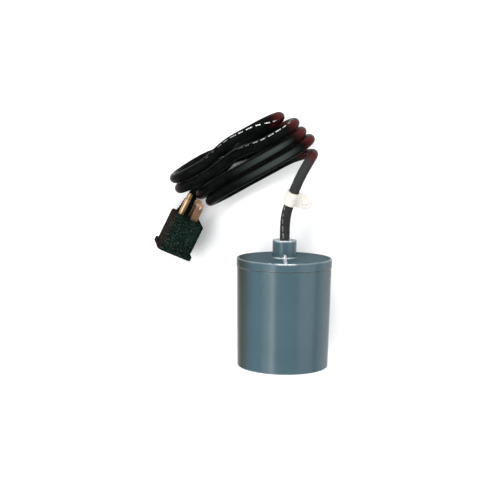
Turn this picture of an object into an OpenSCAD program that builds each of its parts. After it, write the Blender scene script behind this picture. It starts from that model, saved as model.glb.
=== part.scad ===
// Tethered float switch for a sump: a sealed float with a rolling ball and a snap switch inside,
// a two-core cord folded into a hank, a cord clamp, and a plug that another plug fits into.
// The float lies on its side along Y, its cord end towards +Y. Millimetres, +Z up.
// The origin is on the surface it lies on, below the middle of the float.

/* [Float shell] */
// Length of the float from its flat base to the hub's face
float_len = 115; // [110:0.5:125]
// Outer diameter of the cap
cap_d = 86; // [84:0.5:94]
// How far the cap's lip stands out past the housing
lip = 0.4; // [0.2:0.1:1.2]
// How much smaller in radius the housing is at its base
draft = 1.4; // [0:0.1:2.5]
// Wall of the housing
wall = 3; // [2.4:0.1:4]
// Thickness of the housing's base
floor_t = 3.5; // [2.5:0.1:5]
// Height of the cap's outer rim
cap_h = 7.6; // [6.5:0.1:9]
// Thickness of the cap's disc
cap_t = 3.5; // [2.5:0.1:4.5]
// Length of the cap's spigot inside the housing
spigot_len = 8.1; // [6:0.1:10]
// Wall of the spigot
spigot_t = 2.5; // [2.2:0.1:3.5]
// Rounding of the float's outer edges
edge_r = 0.9; // [0.3:0.1:1.5]
// Thickness of the sealing ring's section
ring_d = 1.8; // [1.4:0.1:2.4]

/* [Hub] */
// Diameter of the hub that the cord leaves through
hub_d = 21.8; // [20:0.2:26]
// Height of the hub above the cap
hub_h = 16.3; // [14:0.1:20]
// Rounding of the hub's outer end
hub_edge = 1.2; // [0.4:0.1:2]
// Fillet at the hub's foot
foot_r = 1; // [0.4:0.1:2]
// Thickness of the hub's end wall
neck_t = 4; // [2.5:0.1:5.5]
// Diameter of the gland's bore inside the hub
gland_d = 16; // [14.5:0.1:17.5]
// Diameter of the collar under the cap
collar_d = 26; // [24:0.5:30]
// How far the collar reaches below the cap's disc
collar_len = 7.2; // [6:0.1:9]
// Width of the moulded bead across the cap
bead_w = 1.5; // [0.8:0.1:2.5]
// Height of the bead
bead_h = 0.8; // [0.4:0.1:1.2]
// How far the bead ends from the cap's edge
bead_end = 4; // [2:0.5:12]

/* [Gland] */
// Length of the rubber cord seal
seal_len = 10; // [8:0.5:12]
// Thickness of the washer under the seal
washer_t = 1.5; // [0.8:0.1:2]
// Width of the gland nut across its corners
nut_w = 22; // [20:0.5:23]
// Thickness of the gland nut's head
nut_t = 2.4; // [1.8:0.1:3]
// Outer diameter of the crimped ring on the cord
ferrule_d = 12.6; // [11.5:0.1:14]
// Length of the crimped ring
ferrule_len = 4; // [3:0.5:5]

/* [Cord] */
// Diameter of the cord
cord_d = 9; // [8.4:0.1:9.4]
// Length of the cord's stripped end below the crimped ring
cord_tail = 1.5; // [0.5:0.1:2.5]
// Diameter of one insulated core
core_d = 2.6; // [2:0.1:3]

/* [Ball and tube] */
// Diameter of the steel ball
ball_d = 17; // [15:0.5:18]
// Clearance all round the ball in its tube
ball_gap = 0.5; // [0.4:0.1:0.8]
// Wall of the ball's tube
tube_wall = 2; // [1.2:0.1:2.6]
// Thickness of the plate that closes the tube's lower end
stop_t = 1.5; // [1:0.1:2.5]
// How far the closing plate's spigot reaches into the tube
stop_in = 1.5; // [1:0.1:3]
// Height of the socket for the tube on the housing's base
socket_h = 4; // [3:0.5:6]

/* [Snap switch] */
// Length of the switch's case
case_l = 27.8; // [27:0.1:30]
// Width of the case with its cover
case_w = 10.3; // [9.6:0.1:12]
// Height of the case
case_h = 15.9; // [15.4:0.1:18]
// Thickness of the cover
cover_t = 1.5; // [1:0.1:2]
// How far the case hangs below the carrier's flange
switch_drop = 27.7; // [25:0.1:30]
// Diameter of the plunger
plunger_d = 2.8; // [2:0.1:3.2]
// Thickness of the lever's strip
lever_t = 0.5; // [0.3:0.1:0.7]
// Width of the lever's strip
lever_w = 4; // [3:0.1:4.2]
// Diameter of the lever's pin
pin_d = 1.2; // [0.8:0.1:1.4]
// Width of the switch's tabs
tab_w = 4.8; // [4:0.1:5.2]
// Thickness of the tabs
tab_t = 0.8; // [0.5:0.1:0.9]
// Distance between the two tabs on top of the case
tab_step = 10; // [9:0.1:10.8]
// Length of the tabs outside the case
tab_len = 6.7; // [6:0.1:8]
// Diameter of the small screws' shanks
screw_d = 3; // [2.6:0.1:3.2]

/* [Carrier] */
// Thickness of the carrier's plates
plate_t = 2; // [1.5:0.1:2.5]
// Distance of each carrier screw from the float's axis
boss_x = 24; // [20:0.5:28]
// Diameter of the screw bosses under the cap
boss_d = 9; // [7:0.5:11]
// Width of the carrier's arms
arm_w = 24; // [20:0.5:26]
// How far the carrier's screws reach into their bosses
screw_bite = 5; // [4:0.1:6]
// Height of the clasp round the ball's tube
clasp_h = 6; // [4:0.5:8]
// Wall of the clasp
clasp_t = 2; // [1.5:0.1:2.4]

/* [Plug] */
// Width of the plug's body
plug_w = 29.5; // [27:0.5:31]
// Height of the plug's body
plug_h = 28; // [26:0.5:32]
// Length of the plug's body
plug_l = 34.5; // [33:0.5:38]
// Corner radius of the plug's body
plug_r = 5; // [3:0.5:7]
// Rounding of the shoulders round the blades
shoulder_r = 3.5; // [2:0.5:5]
// Thickness of the flange round the socket's end
flange_t = 3.5; // [2.5:0.1:5]
// How far the flange stands out
flange_w = 2; // [1:0.1:3]
// Thickness of the socket's face plate
face_t = 2; // [1.5:0.1:3]
// Distance between the two flat blades
blade_pitch = 12.7; // [12:0.1:13.4]
// Width of a flat blade
blade_w = 6.35; // [6:0.05:6.8]
// Thickness of a flat blade
blade_t = 1.5; // [1.2:0.1:1.7]
// Length of a flat blade outside the body
blade_len = 17.5; // [15:0.5:19]
// Diameter of the hole near a blade's tip
blade_hole = 3; // [2.4:0.1:3.4]
// Distance from the blades' line to the earth pin
pin_off = 11.9; // [11.4:0.1:12.3]
// Diameter of the earth pin
earth_d = 4.8; // [4.4:0.1:5]
// Length of the earth pin outside the body
earth_len = 21.4; // [19:0.1:22]
// Depth of the socket's contact pockets
pocket = 15; // [13:0.5:17]
// Thickness of the sprung contact leaves
leaf_t = 0.4; // [0.3:0.1:0.6]
// Radius of the cord boss under the body
relief_r = 7.4; // [7:0.1:8]
// Radius of the strain relief's small end
relief_end_r = 5.2; // [5:0.1:6.2]
// Length of the strain relief
relief_len = 13; // [10:0.5:16]

/* [Cord clamp] */
// Width of the clamp's band along the cord
clamp_w = 12.5; // [10:0.5:12.9]
// Thickness of the band
clamp_t = 1.2; // [0.8:0.1:1.6]
// Clearance between the band and the cord
clamp_gap = 0.3; // [0.2:0.05:0.5]
// Distance from the cord's axis to the screw hole
clamp_reach = 12.5; // [11.5:0.5:16]
// Diameter of the screw hole
clamp_hole = 5.2; // [4.2:0.1:6]

/* [Hidden] */
$fn = 64;
e = 0.05;                                   // slip between pieces that are fixed together
run = 0.3;                                  // space left round pieces that move
cord_r = cord_d / 2;

// Heights in the float's own upright frame, from its base
cap_r = cap_d / 2;
top_r = cap_r - lip;
base_r = top_r - draft;
cap_top = float_len - hub_h;
cap_under = cap_top - cap_t;
lip_z = cap_top - cap_h;
spigot_z = lip_z - spigot_len;
spigot_r = top_r - wall - 0.15;
groove_z = (lip_z + spigot_z) / 2;
hub_r = hub_d / 2;
carrier_z = cap_under - collar_len;
neck_z = float_len - neck_t;
seal_z = neck_z - seal_len;
washer_z = seal_z - washer_t;
nut_z = carrier_z - nut_t;
ferrule_z = nut_z - 0.5 - ferrule_len;
cord_z = ferrule_z - cord_tail;
collar_r = collar_d / 2;
nut_r = nut_w / 2;

// Ball, tube and switch in the same frame
tube_x = -11;
tube_ir = ball_d / 2 + ball_gap;
tube_or = tube_ir + tube_wall;
case_z1 = carrier_z - switch_drop;
case_z = case_z1 - case_h;
case_cx = 6;
case_x0 = case_cx - case_l / 2;
case_x1 = case_cx + case_l / 2;
plate_y = case_w / 2;
case_wall = 1.6;
stop_z = floor_t + 0.5;
tube_z = stop_z + stop_t;
hinge_x = case_x1 - 1.9;
hinge_z = case_z - 1.8;
barrel_r = pin_d / 2 + 0.7;
pin_reach = lever_w / 2 + run + 1.2;
lever_z = hinge_z - 0.25 - lever_t;
tube_top = lever_z - 3;
ball_z = tube_z + stop_in + run + ball_d / 2;
ball_travel = lever_z - run - ball_d / 2 - ball_z;
plunger_x = case_cx + 3;
blade_x = case_cx - 7;
stud_x = case_cx + 7;
floor_z = case_z + case_wall;
head_z = floor_z + run;
leaf_z = head_z + 1.2 + run;
stud_lift = 0.9;
pivot_z = leaf_z + 0.2;
closed_z = leaf_z - 0.5 - run;
open_z = leaf_z + 1 + stud_lift + run;
com_z = leaf_z + 0.8;
screw_z = case_z1 - 3.3;
screw_xs = [case_cx - 10.6, case_cx + 5];

// The plug in its own frame: blades along +Z, earth pin towards +X, its face at z = 0
plug_az = 64.5;
plug_pitch = 5.5;
plug_roll = 15;
blade_row = -4.3;
earth_x = blade_row + pin_off;
flange_x = plug_w / 2 + flange_w;
flange_y = plug_h / 2 + flange_w;
low = (flange_x - plug_r) * sin(plug_roll) + (flange_y - plug_r) * cos(plug_roll) + plug_r;
plug_at = [-88.1, 74.4, low * cos(plug_pitch) + plug_l * sin(plug_pitch)];
plug_dir = [cos(plug_az), sin(plug_az), 0];
plug_left = [-sin(plug_az), cos(plug_az), 0];
boss_l = 14;
boss_z = relief_r + 0.2;
boss_at = [plug_at[0], plug_at[1], boss_z] + 5.3 * plug_left;
relief_z0 = 1;
relief_end = boss_at + (relief_z0 + relief_len) * plug_dir;
back_z = -plug_l + face_t;
pocket_z = back_z + pocket;

// The hank: loops in upright planes, u along them and w across them towards the float
hank_az = 30.5;
hank_at = [-42, 126];
fold_r = 27.5;
fold_step = 22.5;
low_h = 4.5;
high_h = low_h + 2 * fold_r;
left_ends = [-40.2, -44.6, -58.5, -58];
right_ends = [66, 62.8, 61.2, 52];
low_right = [21.7, 12.1, 2.5, -7.5, -14];
low_left = [20.9, 11.3, -8.2, -18.2];
top_left = [14.3, 4.7, -4.9, -15];
top_right = [14.7, 5, -4.8, -21];
bow = [0, 0, -4, -2.5];
rise = [0, 0, 0, 9.5];
first = [62, 26.5];
first_az = 50;
first_turn = 0.3;
first_lead = 13.5;
first_a = -20;

function ease(t) = let(c = min(1, max(0, t))) c * c * (3 - 2 * c);
function mix(a, b, t) = a + (b - a) * t;
function unit(v) = v / norm(v);
function uwz(u, w, z) = [hank_at[0] + u * cos(hank_az) + w * sin(hank_az),
    hank_at[1] + u * sin(hank_az) - w * cos(hank_az), z];

// First fold: it swings in from the float's side while it turns down
first_xy = uwz(first[0], first[1], 0);
function first_fold(a) = let(r = fold_r * (1 - sin(a)), f = first_az + first_turn * r)
    [first_xy[0] - r * cos(f), first_xy[1] - r * sin(f), low_h + fold_r + fold_r * cos(a)];
hank_in = unit(first_fold(first_a + 0.01) - first_fold(first_a - 0.01));
hank_start = first_fold(first_a) - first_lead * hank_in;

// Left and right folds of turn j lean across to its next run; the last turn lies over the others
function left_r(j) = norm([fold_r, (top_left[j] - low_left[j]) / 2]);
function left_u(j) = left_ends[j] + left_r(j);
function right_r(j) = norm([fold_r, (top_right[j] - low_right[j + 1]) / 2]);
function right_u(j) = right_ends[j] - right_r(j);
function low_u(j) = j == 0 ? first[0] - fold_r : right_u(j - 1);

function low_run(j) = [for (i = [0:5])
    uwz(mix(low_u(j), left_u(j), i / 6), mix(low_right[j], low_left[j], ease(i / 6)), low_h)];
function left_fold(j) = [for (i = [0:7]) let(a = fold_step * i)
    uwz(left_u(j) - left_r(j) * sin(a), mix(low_left[j], top_left[j], (1 - cos(a)) / 2),
        low_h + fold_r * (1 - cos(a)))];
function top_run(j) = [for (i = [0:5]) let(t = i / 6)
    uwz(mix(left_u(j), right_u(j), t),
        mix(top_left[j], top_right[j], ease(t)) + bow[j] * sin(180 * t) ^ 2,
        high_h + rise[j] * ease(t))];
function right_fold(j) = [for (i = [0:7]) let(a = fold_step * i)
    uwz(right_u(j) + right_r(j) * sin(a), mix(low_right[j + 1], top_right[j], (1 + cos(a)) / 2),
        low_h + rise[j] + fold_r * (1 + cos(a)))];
hank_last = uwz(right_u(3), low_right[4], low_h + rise[3]);
hank_end = uwz(right_u(3) - 6, low_right[4] + 0.6, low_h + rise[3] + 0.1);
hank_out = unit(hank_end - hank_last);
hank_path = concat([hank_start, first_fold(first_a)],
    [for (i = [0:3]) first_fold(fold_step * i)],
    [for (i = [4:7]) let(a = fold_step * i)
        uwz(first[0] - fold_r * (1 - sin(a)), mix(first[1], low_right[0], ease(a / 90 - 1)),
            low_h + fold_r * (1 + cos(a)))],
    [for (j = [0:3]) each concat(low_run(j), left_fold(j), top_run(j), right_fold(j))],
    [hank_last, hank_end]);

// Free stretches: smooth curves through hand-placed guide points
hub_face = [0, float_len / 2, cap_r];
lead_in = [hub_face, hub_face + [0, 4.7, 0], [0, 67, 43.6], [0, 71.7, 44.9], [0.2, 76.4, 46.8],
    [0.7, 81.1, 49.1], hank_start - 4.9 * hank_in, hank_start];
lead_out = [hank_end, hank_end + 6 * hank_out, uwz(4, -9, 14.6), uwz(-6, -4.8, 14.5),
    uwz(-15, -1.4, 13.2), uwz(-24, 0.4, 11.2), uwz(-33, 1, 9.4), uwz(-42, 1.6, 8.2),
    relief_end + 8 * plug_dir, relief_end];

function ends(p) = concat([2 * p[0] - p[1]], p, [2 * p[len(p) - 1] - p[len(p) - 2]]);
function knot(p, i, t) = ((1 - t) ^ 3 * p[i] + (3 * t ^ 3 - 6 * t ^ 2 + 4) * p[i + 1]
    + (-3 * t ^ 3 + 3 * t ^ 2 + 3 * t + 1) * p[i + 2] + t ^ 3 * p[i + 3]) / 6;
function slope(p, i, t) = (-(1 - t) ^ 2 * p[i] + (3 * t ^ 2 - 4 * t) * p[i + 1]
    + (-3 * t ^ 2 + 2 * t + 1) * p[i + 2] + t ^ 2 * p[i + 3]) / 2;
function curve(p, n) = let(q = ends(p), m = len(p) - 1)
    [for (k = [0:n]) let(s = k / n * m, i = min(m - 1, floor(s)))
        [knot(q, i, s - i), unit(slope(q, i, s - i))]];
function segments(p) = let(n = len(p) - 1)
    [for (k = [0:n]) [p[k], unit(p[min(n, k + 1)] - p[max(0, k - 1)])]];

// A closed tube along a list of [point, direction], its sides lined up with ref
module tube(path, r, sides, ref) {
    n = len(path);
    rings = [for (s = path) let(a = unit(ref - (ref * s[1]) * s[1]), b = cross(s[1], a))
        for (k = [0:sides - 1]) let(f = 360 * (k + 0.5) / sides)
            s[0] + r * (cos(f) * a + sin(f) * b)];
    skin = [for (i = [0:n - 2], k = [0:sides - 1])
        let(a = i * sides + k, b = i * sides + (k + 1) % sides)
        each [[a, b, b + sides], [a, b + sides, a + sides]]];
    lids = [for (k = [1:sides - 2]) each [[0, k + 1, k],
        [(n - 1) * sides, (n - 1) * sides + k, (n - 1) * sides + k + 1]]];
    polyhedron(rings, [for (f = concat(skin, lids)) [f[0], f[2], f[1]]], 6);
}

// Least gap of the hank to itself, measured on points along its centre line
fine = [for (i = [0:len(hank_path) - 2], t = [0:2]) mix(hank_path[i], hank_path[i + 1], t / 3)];
function far_apart(i, k) = k - i > 12;
echo(hank_gap = min([for (i = [0:len(fine) - 1], k = [i + 1:1:len(fine) - 1])  // cord_hank
        if (far_apart(i, k)) norm(fine[i] - fine[k])]) - cord_d,
        hank_rings = len(hank_path), start = hank_start, out = hank_end);

function arc(c, r, a0, a1, n = 6) =
    [for (i = [0:n]) let(a = mix(a0, a1, i / n)) c + r * [cos(a), sin(a)]];
module lay() translate([0, -float_len / 2, cap_r]) rotate([-90, 0, 0]) children();
module ring(ro, ri, z0, z1) difference() {
    translate([0, 0, z0]) cylinder(r = ro, h = z1 - z0);
    translate([0, 0, z0 - 1]) cylinder(r = ri, h = z1 - z0 + 2);
}
module bar(x, y, z) translate([x[0], y[0], z[0]]) cube([x[1] - x[0], y[1] - y[0], z[1] - z[0]]);
module along_y(r, y0, y1) translate([0, y0, 0]) rotate([-90, 0, 0]) cylinder(r = r, h = y1 - y0);

// Float shell
inner_r = top_r - wall;
seat_z = spigot_z - 1;
function bore_at(z) = base_r - wall + draft * z / lip_z;

module float_housing() color([0.33, 0.42, 0.46]) lay() {
    rotate_extrude($fn = 96) polygon(concat([[0, 0]],
        arc([base_r - edge_r, edge_r], edge_r, -90, 0),
        [[top_r, lip_z], [inner_r, lip_z], [inner_r, seat_z], [bore_at(seat_z), seat_z],
        [bore_at(floor_t), floor_t], [0, floor_t]]));
    translate([tube_x, 0]) ring(tube_or + 2, tube_or + 0.15, floor_t - 0.5, floor_t + socket_h);
}

module float_cap() color([0.33, 0.42, 0.46]) lay() {
    groove = ring_d + 0.8;
    groove_r = inner_r - ring_d - 0.05;
    difference() {
        union() {
            rotate_extrude($fn = 96) polygon(concat(
                [[gland_d / 2, carrier_z], [collar_r, carrier_z], [collar_r, cap_under],
                [spigot_r - spigot_t, cap_under], [spigot_r - spigot_t, spigot_z],
                [spigot_r, spigot_z], [spigot_r, groove_z - groove / 2],
                [groove_r, groove_z - groove / 2], [groove_r, groove_z + groove / 2],
                [spigot_r, groove_z + groove / 2], [spigot_r, lip_z], [cap_r, lip_z]],
                arc([cap_r - edge_r, cap_top - edge_r], edge_r, 0, 90),
                arc([hub_r + foot_r, cap_top + foot_r], foot_r, 270, 180),
                arc([hub_r - hub_edge, float_len - hub_edge], hub_edge, 0, 90),
                [[cord_r + 0.2, float_len], [cord_r + 0.2, neck_z], [gland_d / 2, neck_z]]));
            for (s = [-1, 1]) translate([s * boss_x, 0, carrier_z])
                cylinder(d = boss_d, h = cap_under - carrier_z + 0.5);
            bar([-bead_w / 2, bead_w / 2], [-cap_r + bead_end, -hub_r + 0.5],
                [cap_top - 0.5, cap_top + bead_h]);
            bar([-bead_w / 2, bead_w / 2], [-hub_r - bead_h / 2, -hub_r + 0.5],
                [cap_top, cap_top + 3]);
        }
        for (s = [-1, 1]) translate([s * boss_x, 0, carrier_z - 1])
            cylinder(r = screw_d / 2 + e, h = screw_bite + 2);
    }
}

module cap_seal() color([0.1, 0.1, 0.1]) lay()
    rotate_extrude($fn = 96) translate([inner_r - ring_d / 2 - 0.025, groove_z])
        circle(d = ring_d, $fn = 24);

// Cord gland
module cable_seal() color([0.12, 0.12, 0.12]) lay()
    ring(gland_d / 2 - e, cord_r + e, seal_z, neck_z);
module seal_washer() color([0.75, 0.75, 0.72]) lay()
    ring(gland_d / 2 - e, cord_r + 0.2, washer_z, seal_z);
module gland_nut() color([0.8, 0.8, 0.78]) lay() difference() {
    union() {
        translate([0, 0, nut_z]) cylinder(r = gland_d / 2 - e, h = washer_z - nut_z);
        translate([0, 0, nut_z]) cylinder(r = nut_r, h = nut_t, $fn = 6);
    }
    translate([0, 0, nut_z - 1]) cylinder(r = cord_r + 0.2, h = washer_z - nut_z + 2);
}
module cord_inner() color([0.15, 0.15, 0.16]) lay()
    translate([0, 0, cord_z]) cylinder(r = cord_r, h = float_len - cord_z);
module cord_ferrule() color("silver") lay()
    ring(ferrule_d / 2, cord_r + e, ferrule_z, ferrule_z + ferrule_len);

// Carrier that hangs from the cap and holds the switch and the tube
module switch_carrier() color([0.85, 0.85, 0.82]) lay() difference() {
    clasp_z = tube_top - 1 - clasp_h;
    clasp_r = tube_or + 0.1;
    union() {
        intersection() {
            translate([0, 0, carrier_z - plate_t]) cylinder(r = boss_x + boss_d / 2 + 1, h = plate_t);
            bar([-cap_r, cap_r], [-arm_w / 2, arm_w / 2], [carrier_z - plate_t, carrier_z]);
        }
        bar([tube_x - tube_or, case_x1], [plate_y, plate_y + plate_t],
            [clasp_z, carrier_z - plate_t / 2]);
        translate([tube_x, 0, clasp_z]) cylinder(r = clasp_r + clasp_t, h = clasp_h);
        for (x = screw_xs) translate([x, 0, screw_z])
            along_y(screw_d / 2 + 1.5, plate_y, plate_y + plate_t + 3);
    }
    translate([tube_x, 0, clasp_z - 1]) cylinder(r = clasp_r, h = lever_z + run + 1 - clasp_z);
    translate([0, 0, cord_z - 1]) cylinder(r = nut_r + 0.6, h = carrier_z - cord_z + 2);
    for (s = [-1, 1]) translate([s * boss_x, 0, carrier_z - plate_t - 1])
        cylinder(r = screw_d / 2 + e, h = plate_t + 2);
    for (x = screw_xs) translate([x, 0, screw_z])
        along_y(screw_d / 2 + e, plate_y - 1, plate_y + plate_t + 4);
}
module carrier_screws() color("silver") lay() for (s = [-1, 1])
    translate([s * boss_x, 0, carrier_z - plate_t]) {
        translate([0, 0, -2]) cylinder(d = screw_d + 2.6, h = 2);
        cylinder(d = screw_d, h = plate_t + screw_bite);
    }

// Ball tube
module ball_tube() color([0.9, 0.9, 0.88]) lay()
    translate([tube_x, 0]) ring(tube_or, tube_ir, tube_z, tube_top);
module tube_stop() color([0.85, 0.85, 0.82]) lay() translate([tube_x, 0, stop_z]) {
    cylinder(r = tube_or, h = stop_t);
    cylinder(r = tube_ir - e, h = stop_t + stop_in);
}
module steel_ball() color("silver") lay()
    translate([tube_x, ball_gap - run, ball_z]) sphere(d = ball_d);

// Snap switch
cavity_y = cover_t - case_w / 2;
cavity_w = 7.3;
module switch_case() color([0.13, 0.13, 0.14]) lay() difference() {
    union() {
        difference() {
            bar([case_x0, case_x1], [cavity_y, plate_y], [case_z, case_z1]);
            bar([case_x0 + case_wall, case_x1 - case_wall], [cavity_y - 1, plate_y - 1.5],
                [floor_z, case_z1 - 1.8]);
        }
        for (x = screw_xs) translate([x, 0, screw_z]) along_y(screw_d / 2 + 1.1, cavity_y, plate_y);
        for (s = [-1, 1]) bar([hinge_x - 1.6, hinge_x + 1.6],
            s > 0 ? [lever_w / 2 + run, lever_w / 2 + run + 1.2]
                : [-lever_w / 2 - run - 1.2, -lever_w / 2 - run], [hinge_z - 1.4, case_z + 0.5]);
    }
    for (x = screw_xs) translate([x, 0, screw_z]) along_y(screw_d / 2 + e, cavity_y - 1, plate_y + 1);
    translate([plunger_x, 0, case_z - 1]) cylinder(r = plunger_d / 2 + 0.1, h = case_wall + 2);
    translate([hinge_x, 0, hinge_z]) along_y(pin_d / 2 + 0.02, -pin_reach - 0.1, pin_reach + 0.1);
    half = tab_w / 2 + e;
    bar([case_x0 - 1, case_x0 + case_wall + 1], [-half, half], [com_z - e, com_z + tab_t + e]);
    for (x = [case_cx, case_cx + tab_step]) bar([x - tab_t / 2 - e, x + tab_t / 2 + e], [-half, half],
        [case_z1 - 2.8, case_z1 + 1]);
}
module switch_cover() color([0.2, 0.2, 0.21]) lay() difference() {
    bar([case_x0, case_x1], [-case_w / 2, cavity_y], [case_z, case_z1]);
    for (x = screw_xs) translate([x, 0, screw_z]) along_y(screw_d / 2 + e, -case_w, cavity_y + 1);
}
module switch_screws() color("silver") lay() for (x = screw_xs) translate([x, 0, screw_z]) {
    along_y(screw_d / 2, -case_w / 2, plate_y + plate_t + 2);
    along_y(screw_d / 2 + 1.2, -case_w / 2 - 1.8, -case_w / 2);
}
module switch_plunger() color([0.75, 0.1, 0.1]) lay() translate([plunger_x, 0]) {
    translate([0, 0, lever_z + lever_t + run])
        cylinder(d = plunger_d, h = head_z + 1.2 - lever_z - lever_t - run);
    translate([0, 0, head_z]) cylinder(d = plunger_d + 1.6, h = 1.2);
}
module lever_arm() color("silver") lay() difference() {
    union() {
        translate([hinge_x, 0, hinge_z]) along_y(barrel_r, -lever_w / 2, lever_w / 2);
        bar([tube_x - 3.5, hinge_x], [-lever_w / 2, lever_w / 2], [lever_z, lever_z + lever_t]);
    }
    translate([hinge_x, 0, hinge_z]) along_y(pin_d / 2 + 0.05, -lever_w, lever_w);
}
module lever_pin() color("silver") lay() translate([hinge_x, 0, hinge_z])
    along_y(pin_d / 2, -pin_reach, pin_reach);
module contact_blade() color([0.72, 0.45, 0.25]) lay() {
    bar([blade_x - 0.5, stud_x + 1.5], [-1.6, 1.6], [leaf_z, leaf_z + 0.4]);
    translate([stud_x, 0, leaf_z - 0.5]) cylinder(r = 1.2, h = 1.5);
    translate([blade_x, 0, pivot_z]) along_y(0.35, -1.6, 1.6);
}

// Terminals, crimps and the two cores
half_tab = tab_w / 2;
module common_terminal() color([0.8, 0.7, 0.4]) lay()
    bar([case_x0 - tab_len, blade_x - 0.2], [-half_tab, half_tab], [com_z, com_z + tab_t]);
module open_terminal() color([0.8, 0.7, 0.4]) lay() {
    bar([case_cx - tab_t / 2, stud_x + 1.4], [-half_tab, half_tab],
        [open_z + 0.5, open_z + 0.5 + tab_t]);
    bar([case_cx - tab_t / 2, case_cx + tab_t / 2], [-half_tab, half_tab],
        [open_z + 0.5, case_z1 + tab_len]);
    translate([stud_x, 0, open_z]) cylinder(r = 1.2, h = 0.6);
}
module closed_terminal() color([0.8, 0.7, 0.4]) lay() {
    x = case_cx + tab_step;
    bar([stud_x - 1.5, x + tab_t / 2], [-half_tab, half_tab], [floor_z, closed_z - 0.4]);
    bar([x - tab_t / 2, x + tab_t / 2], [-half_tab, half_tab], [floor_z, case_z1 + tab_len]);
    translate([stud_x, 0, closed_z - 0.5]) cylinder(r = 1.2, h = 0.5);
}
// Push-on crimp: tab along +Z up to z = 0, wire barrel above
crimp_len = 5;
module crimp() difference() {
    union() {
        bar([-tab_t / 2 - 0.7, tab_t / 2 + 0.7], [-half_tab - 0.7, half_tab + 0.7], [-5.5, 0.8]);
        translate([0, 0, 0.5]) cylinder(r = core_d / 2 + 0.6, h = crimp_len - 0.5);
    }
    bar([-tab_t / 2 - e, tab_t / 2 + e], [-half_tab - e, half_tab + e], [-6, e]);
    translate([0, 0, 1.3]) cylinder(r = core_d / 2 + e, h = crimp_len);
}
module crimp_black() color([0.75, 0.75, 0.7]) lay()
    translate([case_x0 - tab_len, 0, com_z + tab_t / 2]) rotate([0, -90, 0]) crimp();
module crimp_white() color([0.75, 0.75, 0.7]) lay()
    translate([case_cx, 0, case_z1 + tab_len]) crimp();
module core(points) tube(curve(points, 18), core_d / 2, 8, [0, 1, 0]);
core_off = core_d / 2 + 0.4;
module lead_black() color([0.08, 0.08, 0.08]) lay() {
    x = case_x0 - tab_len;
    z = com_z + tab_t / 2;
    core([[x - 1.5, 0, z], [x - 4, 0, z], [x - 6.5, 0, z], [x - 10, 0, z + 1], [x - 12.5, 0, z + 4.5],
        [x - 12.5, 0, z + 9.5], [x - 9, 0, z + 14], [x - 3, 0, z + 17.5],
        [mix(x, -core_off, 0.5), 0, mix(z, cord_z, 0.7)], [-core_off - 2.2, 0, cord_z - 5],
        [-core_off, 0, cord_z - 2], [-core_off, 0, cord_z]]);
}
module lead_white() color([0.92, 0.92, 0.9]) lay() {
    z = case_z1 + tab_len;
    core([[case_cx, 0, z + 1.5], [case_cx, 0, z + 3.3], [case_cx, 0, z + 5.1], [case_cx, 0, z + 6.2],
        [mix(case_cx, core_off, 0.5), 0, mix(z + 6.2, cord_z - 1, 0.5)],
        [core_off, 0, cord_z - 1.4], [core_off, 0, cord_z]]);
}

// Cord outside the float
module cord_to_hank() color([0.09, 0.09, 0.1]) tube(curve(lead_in, 7), cord_r, 8, [0, 0, 1]);
module cord_hank() color([0.09, 0.09, 0.1])
    tube(segments(hank_path), cord_r, 6, [sin(hank_az), -cos(hank_az), 0]);
module cord_to_plug() color([0.09, 0.09, 0.1]) tube(curve(lead_out, 13), cord_r, 8, [0, 0, 1]);

// Cord clamp on the straight start of the hank
clamp_az = atan2(hank_in[1], hank_in[0]);
clamp_el = asin(hank_in[2]);
clamp_at = hank_start + first_lead / 2 * hank_in;
clamp_r = cord_r + clamp_gap;
module cable_clamp() color([0.93, 0.92, 0.88])
    translate(clamp_at) rotate([0, 90 - clamp_el, clamp_az]) difference() {
        union() {
            translate([0, 0, -clamp_w / 2]) linear_extrude(clamp_w) {
                circle(r = clamp_r + clamp_t);
                polygon([[-3.4, -clamp_r + 0.4], [3.4, -clamp_r + 0.4], [clamp_t, -clamp_r - 3.4],
                    [-clamp_t, -clamp_r - 3.4]]);
                translate([-clamp_t, -clamp_reach]) square([2 * clamp_t, clamp_reach]);
            }
            translate([-clamp_t, -clamp_reach, 0]) rotate([0, 90, 0])
                cylinder(d = clamp_w, h = 2 * clamp_t);
        }
        translate([0, 0, -clamp_w]) cylinder(r = clamp_r, h = 2 * clamp_w);
        bar([-0.1, 0.1], [-clamp_reach - clamp_w, -clamp_r + 1], [-clamp_w, clamp_w]);
        translate([-clamp_t - 1, -clamp_reach, 0]) rotate([0, 90, 0])
            cylinder(d = clamp_hole, h = 2 * clamp_t + 2);
    }

// Plug
module plug_place() translate(plug_at) rotate([90, 0, plug_az + 90])
    rotate([-plug_pitch, 0, 0]) rotate([0, 0, plug_roll]) children();
module relief_place() translate(boss_at) rotate([90, 0, plug_az + 90]) children();
module round_box(w, h, r) {
    square([w - 2 * r, h], center = true);
    square([w, h - 2 * r], center = true);
    for (x = [-1, 1], y = [-1, 1]) translate([x * (w / 2 - r), y * (h / 2 - r)]) circle(r = r);
}
module round_front(l, h, r) {
    translate([-l, -h / 2]) square([l - r, h]);
    translate([-l, -h / 2 + r]) square([l, h - 2 * r]);
    for (y = [-1, 1]) translate([-r, y * (h / 2 - r)]) circle(r = r);
}
face_w = plug_w - 5;
tail_r = earth_d / 2 - 0.5;
face_h = plug_h - 5;
module plug_shell() {
    intersection() {
        translate([0, 0, -plug_l]) linear_extrude(plug_l) round_box(plug_w, plug_h, plug_r);
        rotate([0, -90, 0]) linear_extrude(plug_w + 2, center = true)
            round_front(plug_l, plug_h, shoulder_r);
        rotate([90, -90, 0]) linear_extrude(plug_h + 2, center = true)
            round_front(plug_l, plug_w, shoulder_r);
    }
    translate([0, 0, -plug_l]) linear_extrude(flange_t)
        round_box(2 * flange_x, 2 * flange_y, plug_r);
}
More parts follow.
